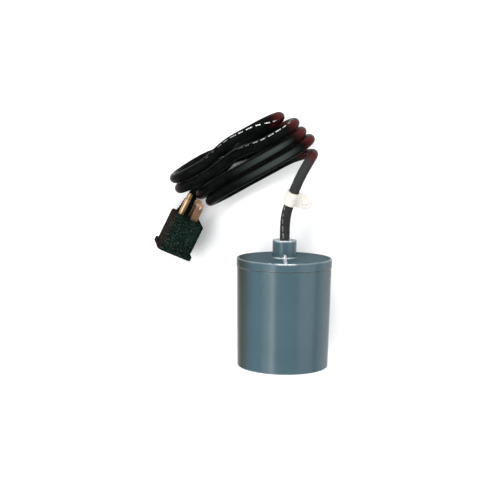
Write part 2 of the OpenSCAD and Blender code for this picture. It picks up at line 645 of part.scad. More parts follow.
module blade_slot(s, z0) bar([blade_row - blade_w / 2 - e, blade_row + blade_w / 2 + e],
    [s * blade_pitch / 2 - blade_t / 2 - e, s * blade_pitch / 2 + blade_t / 2 + e], [z0, 1]);
module plug_body() color([0.07, 0.07, 0.07]) difference() {
    union() {
        plug_place() plug_shell();
        relief_place() translate([0, 0, -boss_l]) cylinder(r = relief_r, h = boss_l + relief_z0);
    }
    plug_place() {
        translate([0, 0, -plug_l - 1]) linear_extrude(face_t + 1)
            round_box(face_w + 2 * e, face_h + 2 * e, 3);
        for (s = [-1, 1]) bar([blade_row - blade_w / 2 - 1, blade_row + blade_w / 2 + 1],
            [s * blade_pitch / 2 - 2.4, s * blade_pitch / 2 + 2.4], [back_z - 1, pocket_z]);
        translate([earth_x, 0, back_z - 1]) cylinder(r = earth_d / 2 + 1.4, h = pocket + 1);
        blade_slot(1, pocket_z + 6);
        blade_slot(-1, pocket_z - 1);
        translate([earth_x, 0, pocket_z - 1]) cylinder(r = tail_r + e, h = 2 - pocket_z);
    }
}
module plug_face() color([0.12, 0.11, 0.1]) plug_place() difference() {
    translate([0, 0, -plug_l]) linear_extrude(face_t) round_box(face_w, face_h, 3);
    for (s = [-1, 1]) bar([blade_row - blade_w / 2 - 0.4, blade_row + blade_w / 2 + 0.4],
        [s * blade_pitch / 2 - blade_t / 2 - 0.35, s * blade_pitch / 2 + blade_t / 2 + 0.35],
        [-plug_l - 1, back_z + 1]);
    translate([earth_x, 0, -plug_l - 1]) cylinder(r = earth_d / 2 + 0.3, h = face_t + 2);
}
module flat_blade(s, z0) translate([blade_row, s * blade_pitch / 2, 0]) difference() {
    union() {
        bar([-blade_w / 2, blade_w / 2], [-blade_t / 2, blade_t / 2], [z0, blade_len - 1.6]);
        bar([-blade_w / 2 + 1.4, blade_w / 2 - 1.4], [-blade_t / 2, blade_t / 2],
            [z0, blade_len]);
        for (x = [-1, 1]) translate([x * (blade_w / 2 - 1.6), 0, blade_len - 1.6])
            along_y(1.6, -blade_t / 2, blade_t / 2);
    }
    translate([0, 0, blade_len - 4.4]) along_y(blade_hole / 2, -blade_t, blade_t);
}
module hot_blade() color([0.8, 0.55, 0.4]) plug_place() flat_blade(1, pocket_z + 6 + e);
module neutral_blade() color([0.8, 0.55, 0.4]) plug_place() flat_blade(-1, pocket_z);
module earth_pin() color([0.8, 0.68, 0.4]) plug_place() translate([earth_x, 0, pocket_z])
    rotate_extrude() polygon(concat([[0, 0], [tail_r, 0], [tail_r, -pocket_z],
        [earth_d / 2, -pocket_z]],
        arc([earth_d / 2 - 1.8, earth_len - pocket_z - 1.8], 1.8, 0, 90),
        [[0, earth_len - pocket_z]]));
module leaf_pair(s) translate([blade_row, s * blade_pitch / 2, 0]) {
    inside = blade_t / 2 + 0.2;
    bar([-blade_w / 2, blade_w / 2], [-inside - leaf_t, inside + leaf_t], [pocket_z - 0.8, pocket_z]);
    for (y = [-inside - leaf_t, inside]) bar([-blade_w / 2, blade_w / 2], [y, y + leaf_t],
        [back_z + 1, pocket_z - 0.4]);
}
module hot_contact() color([0.8, 0.7, 0.4]) plug_place() leaf_pair(1);
module neutral_contact() color([0.8, 0.7, 0.4]) plug_place() leaf_pair(-1);
module earth_contact() color([0.8, 0.7, 0.4]) plug_place() translate([earth_x, 0]) {
    ring(earth_d / 2 + 1, earth_d / 2 + 0.15, back_z + 1, pocket_z - 0.5);
    translate([0, 0, pocket_z - 0.8]) cylinder(r = earth_d / 2 + 1, h = 0.8);
}
function taper(z) = mix(relief_r - 0.3, relief_end_r, z / relief_len);
module plug_strain_relief() color([0.08, 0.08, 0.08]) relief_place()
    translate([0, 0, relief_z0]) rotate_extrude() {
        step = relief_len / 5;
        polygon(concat([[0, 0]], [for (i = [0:4]) each [[taper(i * step), i * step],
            [taper((i + 0.65) * step), (i + 0.65) * step],
            [taper((i + 0.65) * step) - 0.8, (i + 0.65) * step],
            [taper((i + 1) * step) - 0.8, (i + 1) * step]]],
            [[0, relief_len]]));
    }

float_housing();
float_cap();
cap_seal();
cable_seal();
seal_washer();
gland_nut();
cord_inner();
cord_ferrule();
switch_carrier();
carrier_screws();
ball_tube();
tube_stop();
steel_ball();
switch_case();
switch_cover();
switch_screws();
switch_plunger();
lever_arm();
lever_pin();
contact_blade();
common_terminal();
open_terminal();
closed_terminal();
crimp_black();
crimp_white();
lead_black();
lead_white();
cord_to_hank();
cord_hank();
cord_to_plug();
cable_clamp();
plug_body();
plug_face();
hot_blade();
neutral_blade();
earth_pin();
hot_contact();
neutral_contact();
earth_contact();
plug_strain_relief();
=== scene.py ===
"""Tethered float switch with a corded plug: its cord, its finishes, the stage and the camera."""

import math

import bpy
from mathutils import Matrix, Vector


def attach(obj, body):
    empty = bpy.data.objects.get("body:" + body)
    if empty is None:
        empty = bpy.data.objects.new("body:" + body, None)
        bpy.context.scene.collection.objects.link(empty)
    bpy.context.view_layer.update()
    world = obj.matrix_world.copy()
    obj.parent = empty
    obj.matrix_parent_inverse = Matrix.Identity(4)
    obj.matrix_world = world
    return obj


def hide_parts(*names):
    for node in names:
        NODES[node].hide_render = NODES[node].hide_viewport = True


bl_info = {
    "name": "Float Switch Workshop",
    "version": (1, 0, 0),
    "blender": (4, 5, 0),
    "location": "3D View > Sidebar > Float Switch",
    "description": "Makes the cord of a tethered float switch and gives every piece its finish",
    "category": "Object",
}

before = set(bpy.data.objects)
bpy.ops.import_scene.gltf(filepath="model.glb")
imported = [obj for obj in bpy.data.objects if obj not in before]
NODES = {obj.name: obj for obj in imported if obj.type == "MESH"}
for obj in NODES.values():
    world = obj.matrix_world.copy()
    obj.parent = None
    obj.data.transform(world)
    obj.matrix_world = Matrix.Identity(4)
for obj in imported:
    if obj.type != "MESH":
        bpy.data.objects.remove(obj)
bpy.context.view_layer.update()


# ---------------------------------------------------------------- measures, in metres and degrees

# The float lies on its cap's rim, with its axis along Y, and the cord leaves its hub on the axis
CAP_RADIUS = 0.043
EXIT = (0.0, 0.0575, CAP_RADIUS)

# The cord, and how finely it and its route are made
CORD_DIAMETER = 0.009
CORD_SIDES = 24
ROUTE_STEP = 0.0016
RUN_POINTS = 14
FOLD_STEP = 5
EASINGS = 12

# The hank: its turn about Z, its origin, the radius of its folds, the heights of its runs
HANK_TURN = 30.5
HANK_AT = (-0.042, 0.126)
FOLD = 0.0275
LOW = 0.0045
HIGH = LOW + 2 * FOLD
# Its turns: how far along it their folds reach, and how far across it their runs end
LEFT_ENDS = (-0.0402, -0.0446, -0.0585, -0.058)
RIGHT_ENDS = (0.066, 0.0628, 0.0612, 0.052)
LOW_RIGHT = (0.0217, 0.0121, 0.0025, -0.0075, -0.014)
LOW_LEFT = (0.0209, 0.0113, -0.0082, -0.0182)
TOP_LEFT = (0.0143, 0.0047, -0.0049, -0.015)
TOP_RIGHT = (0.0147, 0.005, -0.0048, -0.021)
# How far each top run bows aside, and how far it climbs on its way to the right
BOW = (0.0, 0.0, -0.004, -0.0025)
RISE = (0.0, 0.0, 0.0, 0.0095)

# The first fold: its place in the hank, its aim, its swing in degrees a metre, the angle that it
# starts at, and the straight stretch before it
FIRST = (0.062, 0.0265)
FIRST_AIM = 50.0
FIRST_SWING = 300.0
FIRST_ANGLE = -20
FIRST_LEAD = 0.0135

# Straight stretches of the route: out of the hub, into the hank, out of the hank, into the plug
HUB_STRAIGHT = 0.0047
HANK_STRAIGHT = 0.0049
TAIL_STRAIGHT = 0.006
PLUG_STRAIGHT = 0.008
# The hank's tail: its last point from the end of its last fold, along it, across it and in height
TAIL = (-0.006, 0.0006, 0.0001)

# Guide points: of the climb from the hub, and, in the hank's own terms, of the way to the plug
CLIMB_GUIDES = ((0.0, 0.067, 0.0436), (0.0, 0.0717, 0.0449), (0.0002, 0.0764, 0.0468),
                (0.0007, 0.0811, 0.0491))
PLUG_GUIDES = ((0.004, -0.009, 0.0146), (-0.006, -0.0048, 0.0145), (-0.015, -0.0014, 0.0132),
               (-0.024, 0.0004, 0.0112), (-0.033, 0.001, 0.0094), (-0.042, 0.0016, 0.0082))

# The plug: its turn about Z, its middle, its pins' way, and where its strain relief ends
PLUG_TURN = 64.5
PLUG_AT = (-0.0881, 0.0744)
PIN_AXIS = Vector((0.428529, 0.898430, 0.095846))
RELIEF_HEIGHT = 0.0076
RELIEF_LENGTH = 0.014
RELIEF_SHIFT = 0.0053

# The way of the cord through the clamp
CLAMP_AXIS = (0.290861, 0.895632, 0.336517)

# Dashes on the lead: the side that they face, and how strong they are at which point of the route
LEAD_FACES = Vector((-0.28, 0.0, 0.96))
LEAD_DASHES = ((0, 0.25), (68, 0.25), (76, 0.0))
# Dashes on the hank: the place along it, across it and in height, the lean outwards, the strength
HANK_DASHES = (
    (0.004, -0.0067, HIGH, 50, 0.0),
    (0.026, -0.0058, HIGH, 50, 0.9),
    (0.052, -0.0048, HIGH, 50, 0.9),
    (0.060, -0.0048, 0.045, 50, 0.0),
    (-0.028, -0.0165, HIGH, 40, 0.0),
    (0.008, -0.0210, 0.066, 40, 0.3),
    (0.026, -0.0210, 0.069, 26, 0.9),
    (0.045, -0.0210, 0.069, -25, 0.9),
    (0.052, -0.0210, 0.060, -25, 0.0),
)

# The camera: its place, its view, its upward side, its roll, and its lens in millimetres
CAMERA_AT = (-0.03795, 0.18680, 1.11652)
CAMERA_AHEAD = Vector((0.0, -0.122468, -0.992472))
CAMERA_UP = Vector((0.0, 0.992472, -0.122468))
CAMERA_ROLL = 0.827
CAMERA_LENS = 89.07

# The round floor, and where the main lights aim and how far off they stand
FLOOR_RADIUS = 6.0
FLOOR_SIDES = 64
KEY_AIM = (0.0, -0.15, 0.08)
KEY_DISTANCE = 1.17

# Where finishes change: each a step from its start to its end.
# Across the float: its left side with painted olive shade and its right side with painted shade
PAINTED_SHADE_LEFT = (0.026, 0.0395)
DARKER_SIDE = (0.034, 0.042)
# From the cap's lower edge: the painted shade in its seam
SEAM_PAINTED_SHADE = (0.00025, 0.0007)
# Along the float: where the painted highlight on the rim begins and where the matt lid begins and ends
PAINTED_HIGHLIGHT_FROM = 0.0395
LID_FROM = (0.0400, 0.0409)
LID_TO = 0.0418
# From the float's axis: where the matt lid ends; from its middle, squared: where the painted highlight
# ends
LID_EDGE = (0.0408, 0.0418)
PAINTED_HIGHLIGHT_EDGE = (0.00003, 0.00012)
# Along the cord: where its greyer lead ends and where its painted sheen may begin
LEAD_GREY_ENDS = (0.10, 0.15)
SHEEN_MAY = (0.13, 0.16)
# The painted sheen's place on the hank: in height, along it as it comes and as it goes, and across it
SHEEN_HEIGHT = (0.050, 0.058)
SHEEN_COMES = (0.012, 0.058)
SHEEN_GOES = (0.062, 0.088)
SHEEN_ACROSS = (-0.132, -0.125)
# Across the plug, from the origin: its browner side, a painted warm bounce
PAINTED_BOUNCE_SIDE = (0.1195, 0.1235)
# Back from a blade's tip: its painted highlight; back from the pin's tip: its turned rings; a ring's edge
PAINTED_TIP_HIGHLIGHT = (0.0062, 0.0014)
PIN_RINGS = (0.0034, 0.0052)
RING_EDGE = (0.0002, 0.0006)
# The length of a dash on the cord with the gap after it
DASH_PITCH = 0.0074
# The painted warm bounce on the folds: how steep a dive or a climb takes it from, the span it grows
# over, a climb's share
DIVE_FROM = 0.55
DIVE_SPAN = 0.36
CLIMB_FROM = 0.7
CLIMB_SPAN = 0.3
CLIMB_SHARE = 0.1


def sine(degrees):
    return math.sin(math.radians(degrees))


def cosine(degrees):
    return math.cos(math.radians(degrees))


def between(a, b, t):
    return a + (b - a) * t


def ease(t):
    """0 below 0, 1 above 1, smooth between."""
    t = min(1.0, max(0.0, t))
    return t * t * (3 - 2 * t)


# ---------------------------------------------------------------- colours


def rgb(r, g, b):
    """A colour picked on a screen, 0 to 255, as the shader's own numbers."""
    return tuple(v / 255 / 12.92 if v / 255 <= 0.04045 else ((v / 255 + 0.055) / 1.055) ** 2.4
                 for v in (r, g, b)) + (1.0,)


def shade(colour, factor):
    """A colour made darker or lighter."""
    return tuple(min(1.0, v * factor) for v in colour[:3]) + (1.0,)


# Colour of the painted highlight on the float's edges
PAINTED_EDGE_HIGHLIGHT = rgb(206, 218, 221)
# Colour of the painted highlight on the middle of the cap's rim
PAINTED_RIM_HIGHLIGHT = rgb(252, 254, 254)
# Colour of the greyer lead of the cord
LEAD_GREY = rgb(52, 53, 53)
# Colour of the painted sheen on the hank's upper strands
PAINTED_SHEEN = rgb(62, 70, 66)
# Colour of the painted glints on the plug's pebbled skin
PAINTED_GLINTS = rgb(80, 92, 88)
BLADE_TARNISH = rgb(96, 58, 38)
PIN_TARNISH = rgb(84, 62, 32)


# ---------------------------------------------------------------- node trees


def find_socket(sockets, key):
    """The enabled socket of a name, where _ stands for a space, or else the one of an identifier."""
    for socket in sockets:
        if socket.enabled and socket.name in (key, key.replace("_", " ")):
            return socket
    for socket in sockets:
        if socket.identifier == key:
            return socket
    raise RuntimeError(f"no socket is called {key}")


class Wire:
    """A value on its way through a node tree. Arithmetic on it adds Math nodes."""

    def __init__(self, wiring, socket):
        self.wiring = wiring
        self.socket = socket

    def __add__(self, other):
        return self.wiring.maths("ADD", self, other)

    __radd__ = __add__

    def __sub__(self, other):
        return self.wiring.maths("SUBTRACT", self, other)

    def __rsub__(self, other):
        return self.wiring.maths("SUBTRACT", other, self)

    def __mul__(self, other):
        return self.wiring.maths("MULTIPLY", self, other)

    __rmul__ = __mul__

    def __truediv__(self, other):
        return self.wiring.maths("DIVIDE", self, other)

    def __rtruediv__(self, other):
        return self.wiring.maths("DIVIDE", other, self)

    def __gt__(self, other):
        return self.wiring.maths("GREATER_THAN", self, other)

    def __lt__(self, other):
        return self.wiring.maths("LESS_THAN", self, other)

    def __abs__(self):
        return self.wiring.maths("ABSOLUTE", self)


class Wiring:
    """A node tree and the one way to add to it."""

    def __init__(self, tree):
        self.tree = tree

    def feed(self, socket, value):
        """Links a wire to a socket, or sets a plain value on it. None leaves it as it is."""
        if isinstance(value, Wire):
            self.tree.links.new(value.socket, socket)
        elif value is not None:
            socket.default_value = value

    def node(self, kind, settings=None, *values, out=0, **named):
        """Adds a node: its settings first, then what its sockets hold or are linked to."""
        made = self.tree.nodes.new(kind)
        for key, value in (settings or {}).items():
            setattr(made, key, value)
        for socket, value in zip(made.inputs, values):
            self.feed(socket, value)
        for key, value in named.items():
            self.feed(find_socket(made.inputs, key), value)
        return Wire(self, find_socket(made.outputs, out) if isinstance(out, str) else made.outputs[out])

    def maths(self, operation, *values):
        return self.node("ShaderNodeMath", {"operation": operation}, *values)


class Finish(Wiring):
    """One material and the nodes that it is made of."""

    def __init__(self, name):
        self.material = bpy.data.materials.new(name)
        self.material.use_nodes = True
        super().__init__(self.material.node_tree)
        self.tree.nodes.clear()

    def place(self, stretch=None, turn=0.0):
        """The object's own coordinates, in metres. A stretch draws a pattern out, along axes that
        are turned about Z."""
        where = self.node("ShaderNodeTexCoord", out="Object")
        if stretch is None:
            return where
        return self.node("ShaderNodeMapping", {"vector_type": "TEXTURE"}, where,
                         Rotation=(0.0, 0.0, turn), Scale=stretch)

    def split(self, vector):
        """The three parts of a vector."""
        first = self.node("ShaderNodeSeparateXYZ", None, vector)
        return [Wire(self, socket) for socket in first.socket.node.outputs]

    def dot(self, a, b):
        """How far one vector goes along another."""
        return self.node("ShaderNodeVectorMath", {"operation": "DOT_PRODUCT"}, a, b, out="Value")

    def attribute(self, name, out="Fac"):
        """A value that the piece's mesh carries."""
        return self.node("ShaderNodeAttribute", {"attribute_name": name}, out=out)

    def outward(self):
        """The way that the surface faces."""
        return self.node("ShaderNodeNewGeometry", out="Normal")

    def noise(self, scale, detail=2.0, roughness=0.5, where=None, distortion=0.0):
        """Cloudy pattern round 0.5; scale is in repeats per metre."""
        return self.node("ShaderNodeTexNoise", {"noise_dimensions": "3D"},
                         Vector=where or self.place(), Scale=scale, Detail=detail,
                         Roughness=roughness, Distortion=distortion)

    def chance(self, seed):
        """A value from 0 to 1 that stays the same for the same seed."""
        return self.node("ShaderNodeTexWhiteNoise", {"noise_dimensions": "1D"}, W=seed, out="Value")

    def ramp(self, value, low, high):
        """0 below low, 1 above high, smooth between."""
        return self.node("ShaderNodeMapRange", {"interpolation_type": "SMOOTHSTEP"},
                         value, low, high, 0.0, 1.0)

    def blend(self, factor, a, b):
        """Mixes two colours."""
        return self.node("ShaderNodeMix", {"data_type": "RGBA", "clamp_factor": True},
                         Factor_Float=factor, A_Color=a, B_Color=b, out="Result_Color")

    def round_edges(self, width):
        """A normal that rounds the edges of a piece."""
        return self.node("ShaderNodeBevel", {"samples": 4}, Radius=width)

    def edges(self, width):
        """1 on the outer edges and corners of a piece, 0 on its faces."""
        return self.ramp(1.0 - self.dot(self.round_edges(width), self.outward()), 0.01, 0.16)

    def bump(self, height, depth, strength, under=None):
        """A normal from a height; depth is in metres."""
        return self.node("ShaderNodeBump", None, Strength=strength, Distance=depth, Height=height,
                         Normal=under)

    def surface(self, colour, roughness, normal, metallic=0.0, gloss=0.5, coat=None, **fixed):
        """The shader itself. The gloss and what is in fixed are the same all over the surface."""
        shader = self.node("ShaderNodeBsdfPrincipled", None, Base_Color=colour, Roughness=roughness,
                           Metallic=metallic, Normal=normal, Coat_Weight=coat,
                           Specular_IOR_Level=gloss, **fixed)
        out = self.tree.nodes.new("ShaderNodeOutputMaterial")
        self.feed(out.inputs[0], shader)
        return self.material


class Growth(Wiring):
    """A Geometry Nodes tree with named inputs."""

    def __init__(self, name, inputs):
        super().__init__(bpy.data.node_groups.new(name, "GeometryNodeTree"))
        face = self.tree.interface
        face.new_socket("Geometry", in_out="INPUT", socket_type="NodeSocketGeometry")
        self.keys = {}
        for label, kind, value in inputs:
            made = face.new_socket(label, in_out="INPUT", socket_type=kind)
            if value is not None:
                made.default_value = value
            self.keys[label] = made.identifier
        face.new_socket("Geometry", in_out="OUTPUT", socket_type="NodeSocketGeometry")
        self.start = self.tree.nodes.new("NodeGroupInput")
        self.end = self.tree.nodes.new("NodeGroupOutput")

    def given(self, label):
        return Wire(self, self.start.outputs[label])

    def finish(self, geometry, material):
        """Ends the tree with real geometry that has its material."""
        whole = self.node("GeometryNodeRealizeInstances", Geometry=geometry)
        whole = self.node("GeometryNodeSetMaterial", Geometry=whole, Material=material)
        self.feed(self.end.inputs[0], whole)

    def grow(self, obj, **values):
        """Runs the tree on an object and returns the plain mesh that comes of it."""
        mod = obj.modifiers.new("grow", "NODES")
        mod.node_group = self.tree
        for label, value in values.items():
            mod[self.keys[label]] = value
        bpy.context.view_layer.update()
        graph = bpy.context.evaluated_depsgraph_get()
        mesh = bpy.data.meshes.new_from_object(obj.evaluated_get(graph), preserve_all_data_layers=True,
                                               depsgraph=graph)
        obj.modifiers.remove(mod)
        return mesh


# ---------------------------------------------------------------- finishes


def moulded_shell(colour, sides, seam):
    """Moulded plastic of the float: faint clouds and scuffs, painted shade on both sides, pale edges of
    painted highlight, a painted highlight on the middle of the cap's rim, a matt lid and painted shade
    in the cap's seam."""
    f = Finish("float_shell")
    where = f.place()
    across, along, _ = f.split(where)
    clouds = f.noise(22.0, 3.0, 0.55)
    base = f.blend(f.ramp(clouds, 0.3, 0.75), shade(colour, 0.93), shade(colour, 1.07))
    # Painted shade: the left side darkened to an olive cast and the right side darkened, both by place
    painted_shade_left = f.ramp(0.0 - across, *PAINTED_SHADE_LEFT)
    darker = f.ramp(across, *DARKER_SIDE)
    base = f.blend(painted_shade_left * 0.9, base, sides)
    base = f.blend(darker * 0.75, base, shade(colour, 0.45))
    # Pale edges: a painted highlight along the float's edges, which are also made partly metallic
    edge_highlight = f.edges(0.0013)
    base = f.blend(edge_highlight * 0.9, base, PAINTED_EDGE_HIGHLIGHT)
    # A near-white painted highlight on the edges near the middle of the cap: its rim, hub and bead
    shine = f.edges(0.0024) * (1.0 - f.ramp(across * across, *PAINTED_HIGHLIGHT_EDGE)) * (along > PAINTED_HIGHLIGHT_FROM)
    base = f.blend(shine, base, PAINTED_RIM_HIGHLIGHT)
    # A dark line of painted shade in the seam between the cap and the housing
    seam_painted_shade = 1.0 - f.ramp(abs(along - seam), *SEAM_PAINTED_SHADE)
    base = f.blend(seam_painted_shade * 0.8, base, shade(colour, 0.22))
    scuffs = f.ramp(f.noise(40.0, 3.0, 0.6, f.place((1.0, 14.0, 1.0))), 0.60, 0.72)
    axis = f.node("ShaderNodeCombineXYZ", None, 0.0, along, CAP_RADIUS)
    out = f.node("ShaderNodeVectorMath", {"operation": "DISTANCE"}, where, axis, out="Value")
    matt = f.ramp(along, *LID_FROM) * (1.0 - f.ramp(out, *LID_EDGE)) * (along < LID_TO)
    base = f.blend(matt * 0.3, base, shade(colour, 0.62))
    rough = 0.20 + 0.07 * clouds + 0.08 * scuffs + 0.42 * matt
    polish = 0.33 * (1.0 - painted_shade_left) * (1.0 - darker) * (1.0 - matt)
    skin = f.noise(1500.0, 2.0, 0.5)
    waves = f.noise(55.0, 1.0, 0.4)
    normal = f.bump(skin * 0.6 + waves * 2.0, 0.00004, 0.5, f.round_edges(0.0013))
    return f.surface(base, rough, normal, metallic=edge_highlight * 0.45, gloss=0.045, coat=polish,
                     Coat_Roughness=0.23)


def cord_jacket(colour, marks, warm_bounce):
    """Black cord jacket: lines along it and fine ridges across it, a greyer lead, a painted grey sheen on
    the hank's upper strands, a painted warm bounce on its folds and short rows of plain pale dashes."""
    f = Finish("cord_jacket")
    along = f.attribute("along")
    up, side, _ = f.split(f.attribute("face", out="Vector"))
    turn = f.maths("ARCTAN2", side, up)
    lines = f.node("ShaderNodeTexNoise", {"noise_dimensions": "2D"},
                   Vector=f.node("ShaderNodeCombineXYZ", None, turn * 9.0, along * 30.0, 0.0),
                   Scale=1.0, Detail=2.0)
    ridges = f.maths("SINE", along * 2800.0)
    wrinkles = f.noise(420.0, 2.0, 0.5)
    bloom = f.noise(120.0, 3.0, 0.6)

    beat = along / DASH_PITCH
    part = f.maths("FRACT", beat)
    which = f.maths("FLOOR", beat)
    dash = (part > 0.06 + 0.22 * f.chance(which)) * (part < 0.56 + 0.36 * f.chance(which + 0.37))
    ticks = f.node("ShaderNodeTexNoise", {"noise_dimensions": "1D"}, W=along * 1500.0, Scale=1.0,
                   Detail=0.0)
    dash = dash * f.ramp(ticks, 0.34, 0.46) * (turn * turn < 0.012)
    marked = dash * f.attribute("marked")

    where = f.place()
    run = f.dot(where, (cosine(HANK_TURN), sine(HANK_TURN), 0.0))
    over = f.dot(where, (sine(HANK_TURN), -cosine(HANK_TURN), 0.0))
    height = f.split(where)[2]
    facing_up = f.split(f.outward())[2]
    # A painted sheen: grey on the upward faces of the hank's upper strands, towards its right end
    painted_sheen = f.ramp(facing_up, 0.70, 1.0) * f.ramp(height, *SHEEN_HEIGHT) * f.ramp(run, *SHEEN_COMES) \
        * (1.0 - f.ramp(run, *SHEEN_GOES)) * f.ramp(over, *SHEEN_ACROSS) * f.ramp(along, *SHEEN_MAY) \
        * (0.55 + 0.6 * lines)
    # A painted warm bounce: a maroon cast on the upward faces of the folds
    painted_bounce = f.attribute("folded") * 0.9 * f.ramp(facing_up, 0.0, 0.5)

    base = f.blend(f.ramp(bloom, 0.35, 0.75), shade(colour, 0.6), shade(colour, 1.5))
    # The lead is greyer, from the hub up to the hank
    base = f.blend((1.0 - f.ramp(along, *LEAD_GREY_ENDS)) * 0.75, base, LEAD_GREY)
    base = f.blend(painted_sheen * 0.7, base, PAINTED_SHEEN)
    base = f.blend(painted_bounce, base, warm_bounce)
    base = f.blend(marked, base, marks)
    rough = 0.26 + 0.14 * bloom + 0.12 * marked
    normal = f.bump(lines * 1.4 + wrinkles * 0.8 + ridges * 0.12 + marked * 0.3, 0.00012, 0.7)
    return f.surface(base, rough, normal, gloss=0.012)


def plug_rubber(colour, warm_bounce):
    """Soft black moulding with a pebbled skin, pale specks of painted glints and a painted warm bounce on
    one side.
    """
    f = Finish("plug_pvc")
    pebbles = f.node("ShaderNodeTexVoronoi", {"feature": "SMOOTH_F1"}, Vector=f.place(), Scale=620.0)
    fine = f.noise(800.0, 3.0, 0.6)
    clouds = f.noise(60.0, 2.0, 0.5)
    base = f.blend(f.ramp(clouds, 0.3, 0.7), shade(colour, 0.6), shade(colour, 1.5))
    across = f.dot(f.place(), (-sine(PLUG_TURN), cosine(PLUG_TURN), 0.0))
    # One browner side: a painted warm bounce
    base = f.blend(f.ramp(across, *PAINTED_BOUNCE_SIDE) * 0.8, base, warm_bounce)
    # Pale specks: painted glints on the pebbled skin, which is given no gloss of its own
    painted_glints = f.ramp(f.noise(950.0, 2.0, 0.6, distortion=0.5), 0.53, 0.66)
    base = f.blend(painted_glints * 0.42, base, PAINTED_GLINTS)
    normal = f.bump(pebbles + fine * 0.8, 0.0008, 0.9, f.round_edges(0.0006))
    return f.surface(base, 0.38 + 0.22 * fine, normal, gloss=0.0)


def blade_metal(name, colour, dark, rings=(), tip=None):
    """Drawn and stamped contact metal: fine lines along it, darker tarnish in clouds, painted highlights
    on its edges, and on a pin its turned rings, on a blade a painted highlight at its end."""
    f = Finish(name)
    lines = f.noise(900.0, 3.0, 0.6, f.place((1.0, 12.0, 1.0), math.radians(PLUG_TURN - 90.0)))
    tarnish = f.ramp(f.noise(260.0, 4.0, 0.65), 0.45, 0.72)
    base = f.blend(tarnish * 0.45, colour, dark)
    # Painted highlights along the metal's edges
    base = f.blend(f.edges(0.0005) * 0.7, base, shade(colour, 2.2))
    if tip is not None:
        # A painted highlight at the blade's end
        painted_tip_highlight = f.ramp(f.dot(f.place(), PIN_AXIS), tip - PAINTED_TIP_HIGHLIGHT[0], tip - PAINTED_TIP_HIGHLIGHT[1])
        base = f.blend(painted_tip_highlight * 0.75, base, shade(colour, 2.6))
    height = lines
    for at in rings:
        ring = 1.0 - f.ramp(abs(f.dot(f.place(), PIN_AXIS) - at), *RING_EDGE)
        base = f.blend(ring * 0.8, base, shade(dark, 0.5))
        height = height - ring * 6.0
    rough = 0.24 + 0.14 * lines + 0.2 * tarnish
    normal = f.bump(height, 0.00004, 0.6, f.round_edges(0.0003))
    return f.surface(base, rough, normal, metallic=1.0)


def plated_steel(name, colour, scratched=0.15):
    """Zinc-plated or polished steel with a cloudy lustre and fine scratches."""
    f = Finish(name)
    clouds = f.noise(350.0, 3.0, 0.6)
    base = f.blend(clouds, shade(colour, 0.8), shade(colour, 1.1))
    scratch = f.ramp(f.noise(1800.0, 2.0, 0.5, f.place((1.0, 12.0, 1.0))), 0.55, 0.7)
    normal = f.bump(scratch, 0.00003, scratched, f.round_edges(0.0002))
    return f.surface(base, 0.16 + 0.2 * clouds + 0.12 * scratch, normal, metallic=1.0)


def plain_plastic(name, colour, rough=0.4):
    """Moulded engineering plastic: fine grain, slight clouds, soft wear on its edges."""
    f = Finish(name)
    clouds = f.noise(140.0, 3.0, 0.55)
    base = f.blend(f.ramp(clouds, 0.3, 0.7), shade(colour, 0.92), shade(colour, 1.06))
    base = f.blend(f.edges(0.0004) * 0.3, base, shade(colour, 1.3))
    normal = f.bump(f.noise(1200.0, 2.0, 0.5), 0.00006, 0.5, f.round_edges(0.0003))
    return f.surface(base, rough + 0.12 * clouds, normal, gloss=0.45)


def clamp_plastic(name, colour, rim):
    """Milky nylon of the cord clamp: fine ribs round its band, greyer clouds and creamy edges that are
    painted shade.
    """
    f = Finish(name)
    clouds = f.noise(420.0, 3.0, 0.6)
    base = f.blend(f.ramp(clouds, 0.42, 0.68), colour, shade(colour, 0.86))
    # Creamy edges: painted shade along the clamp's edges
    base = f.blend(f.edges(0.0008) * 0.6, base, rim)
    ribs = f.maths("SINE", f.dot(f.place(), CLAMP_AXIS) * 4200.0)
    normal = f.bump(ribs * 0.6 + f.noise(900.0, 2.0, 0.5), 0.00016, 0.7, f.round_edges(0.0004))
    return f.surface(base, 0.34 + 0.16 * clouds, normal, gloss=0.4, Subsurface_Weight=0.12,
                     Subsurface_Radius=(0.002, 0.0015, 0.001))


def soft_rubber(name, colour):
    """Matt rubber with a dusty bloom."""
    f = Finish(name)
    clouds = f.noise(180.0, 4.0, 0.6)
    base = f.blend(f.ramp(clouds, 0.4, 0.8), colour, shade(colour, 2.4))
    normal = f.bump(f.noise(1400.0, 2.0, 0.6), 0.00008, 0.6)
    return f.surface(base, 0.55 + 0.25 * clouds, normal, gloss=0.35)


def floor_paper(colour):
    """Matt pale paper with a faint cloudy fibre."""
    f = Finish("floor_paper")
    fibre = f.noise(30.0, 3.0, 0.6)
    base = f.blend(fibre, shade(colour, 0.99), colour)
    normal = f.bump(f.noise(900.0, 2.0), 0.00005, 0.3)
    return f.surface(base, 0.75 + 0.1 * fibre, normal, gloss=0.2)


def dress(material, *names):
    """Gives CAD nodes a finish, in the slots that they have."""
    for name in names:
        node = NODES[name]
        if not node.material_slots:
            node.data.materials.append(material)
        for kept in node.material_slots:
            kept.material = material


def tip_of(name):
    """How far a CAD node reaches along the plug's pins."""
    return max(PIN_AXIS.dot(v.co) for v in NODES[name].data.vertices)


# ---------------------------------------------------------------- the cord's route


def hank_point(u, w, z):
    """A point of the hank: u along its strands, w across them, z up."""
    return Vector((HANK_AT[0] + u * cosine(HANK_TURN) + w * sine(HANK_TURN),
                   HANK_AT[1] + u * sine(HANK_TURN) - w * cosine(HANK_TURN), z))


def first_fold(a):
    """The first fold swings in from the float's side while it turns down."""
    start = hank_point(FIRST[0], FIRST[1], 0.0)
    r = FOLD * (1 - sine(a))
    turn = FIRST_AIM + FIRST_SWING * r
    return Vector((start.x - r * cosine(turn), start.y - r * sine(turn), LOW + FOLD + FOLD * cosine(a)))


